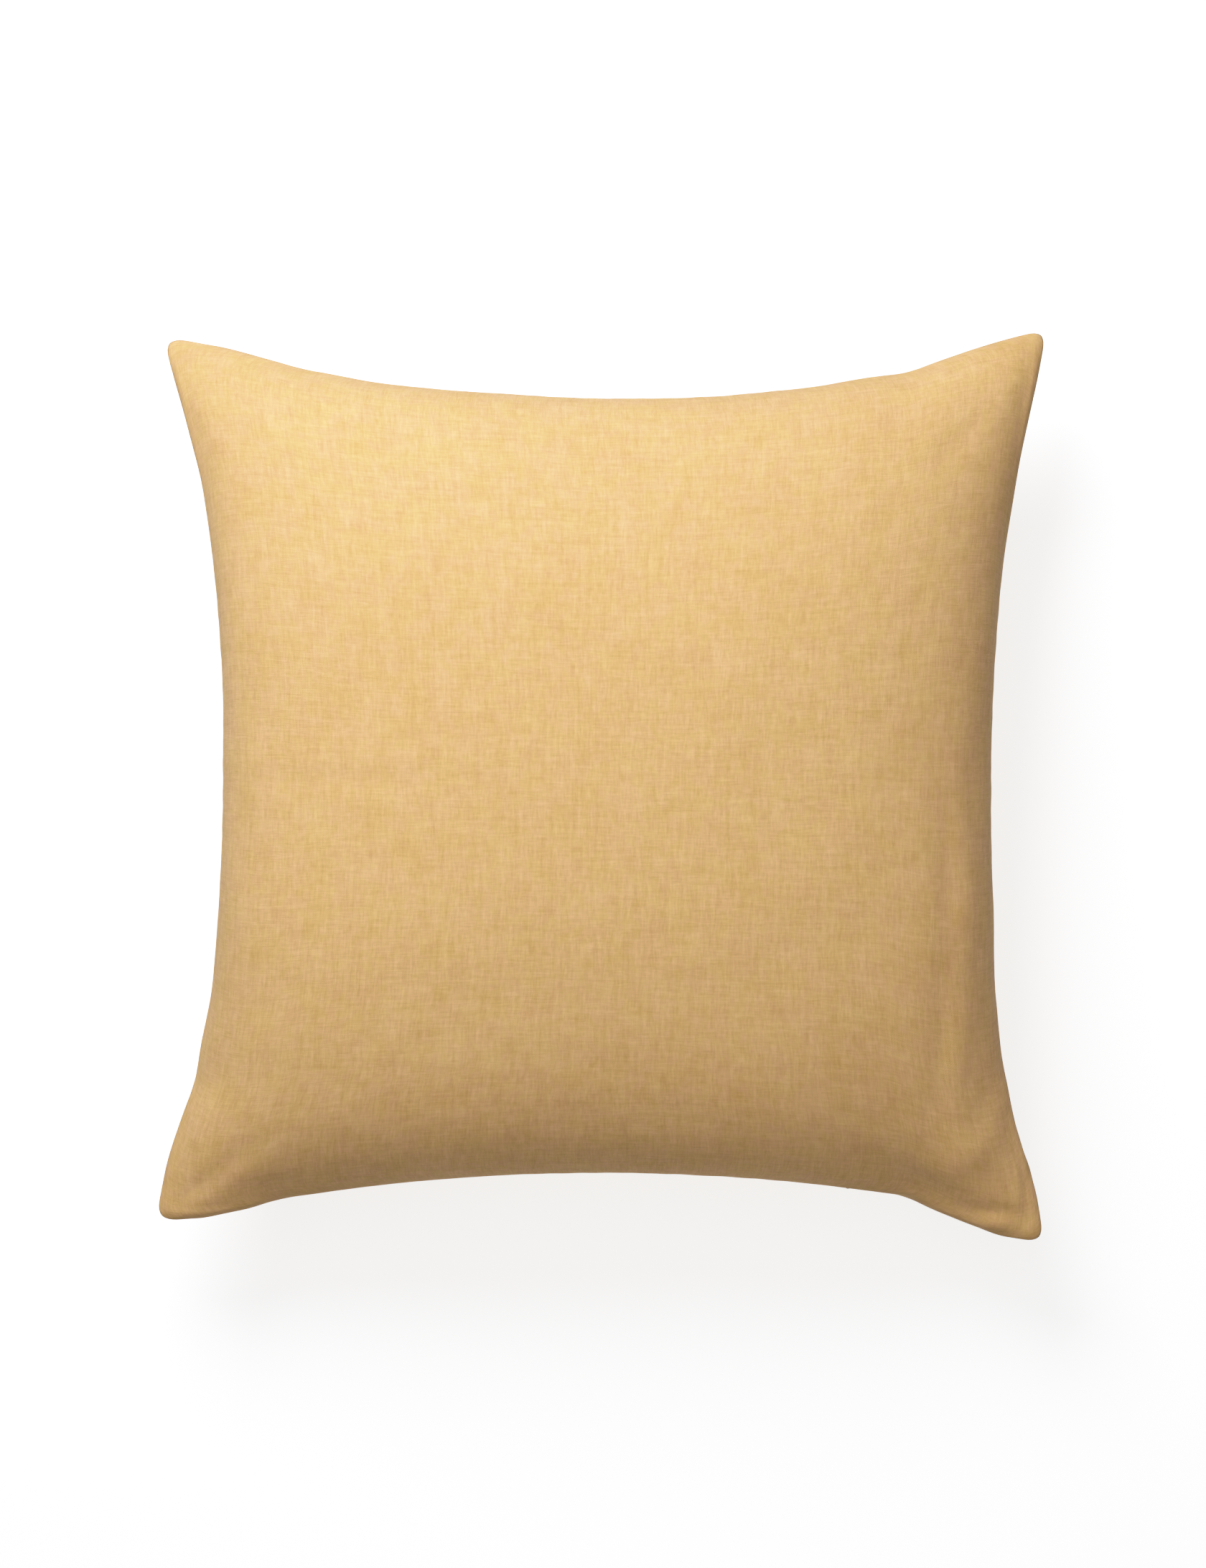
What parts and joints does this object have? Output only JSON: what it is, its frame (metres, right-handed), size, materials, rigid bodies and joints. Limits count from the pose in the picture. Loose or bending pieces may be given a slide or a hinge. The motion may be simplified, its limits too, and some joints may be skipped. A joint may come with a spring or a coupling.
{
  "type": "throw pillow",
  "caption": "Square knife-edge throw pillow: a plain linen cover with a concealed zip in its bottom seam, over a separate fibre-filled insert",
  "frame": {"origin": "middle of the outline, on the surface that the pillow lies on; the back rests there on its flattened patch", "axes": "+Z out of the front face, +Y to the top edge, so the zip is in the seam on the -Y side, +X to the right seen from the front"},
  "size_m": [0.494, 0.5062, 0.16],
  "materials": {
    "linen_front": "matte",
    "linen_back": "matte",
    "thread": "matte",
    "zip_tape": "matte",
    "nylon_coil": "satin",
    "metal": "satin",
    "casing_cotton": "matte",
    "white_thread": "matte",
    "fibre_fill": "matte",
    "label_satin": "satin"
  },
  "bodies": {
    "cushion": {"cover_front_panel": "linen_front", "cover_back_panel": "linen_back", "cover_overlock_thread": "thread", "zip_tape_front": "zip_tape", "zip_tape_back": "zip_tape", "zip_coil_front": "nylon_coil", "zip_coil_back": "nylon_coil", "zip_top_stop_front": "metal", "zip_top_stop_back": "metal", "zip_bottom_stop": "metal", "zip_bartack_left": "thread", "zip_bartack_right": "thread", "care_label": "label_satin", "insert_front_panel": "casing_cotton", "insert_back_panel": "casing_cotton", "insert_overlock_thread": "white_thread", "insert_closing_stitch": "white_thread", "insert_filling": "fibre_fill", "insert_label": "label_satin"},
    "zip_slider": {"zip_slider_body": "metal"},
    "zip_pull": {"zip_pull_tab": "metal"}
  },
  "joints": [
    {"name": "zip_run", "type": "hinge", "parent": "cushion", "child": "zip_slider", "pos_m": [0.00041, -1.26413, 0.076], "axis": [0, 0, 1], "range_deg": [0, 14.95], "deforming": ["zip_coil_front", "zip_coil_back"]},
    {"name": "pull_swing", "type": "hinge", "parent": "zip_slider", "child": "zip_pull", "pos_m": [0.13716, -0.22196, 0.076], "axis": [0, 0, 1], "range_deg": [0, 165]}
  ]
}
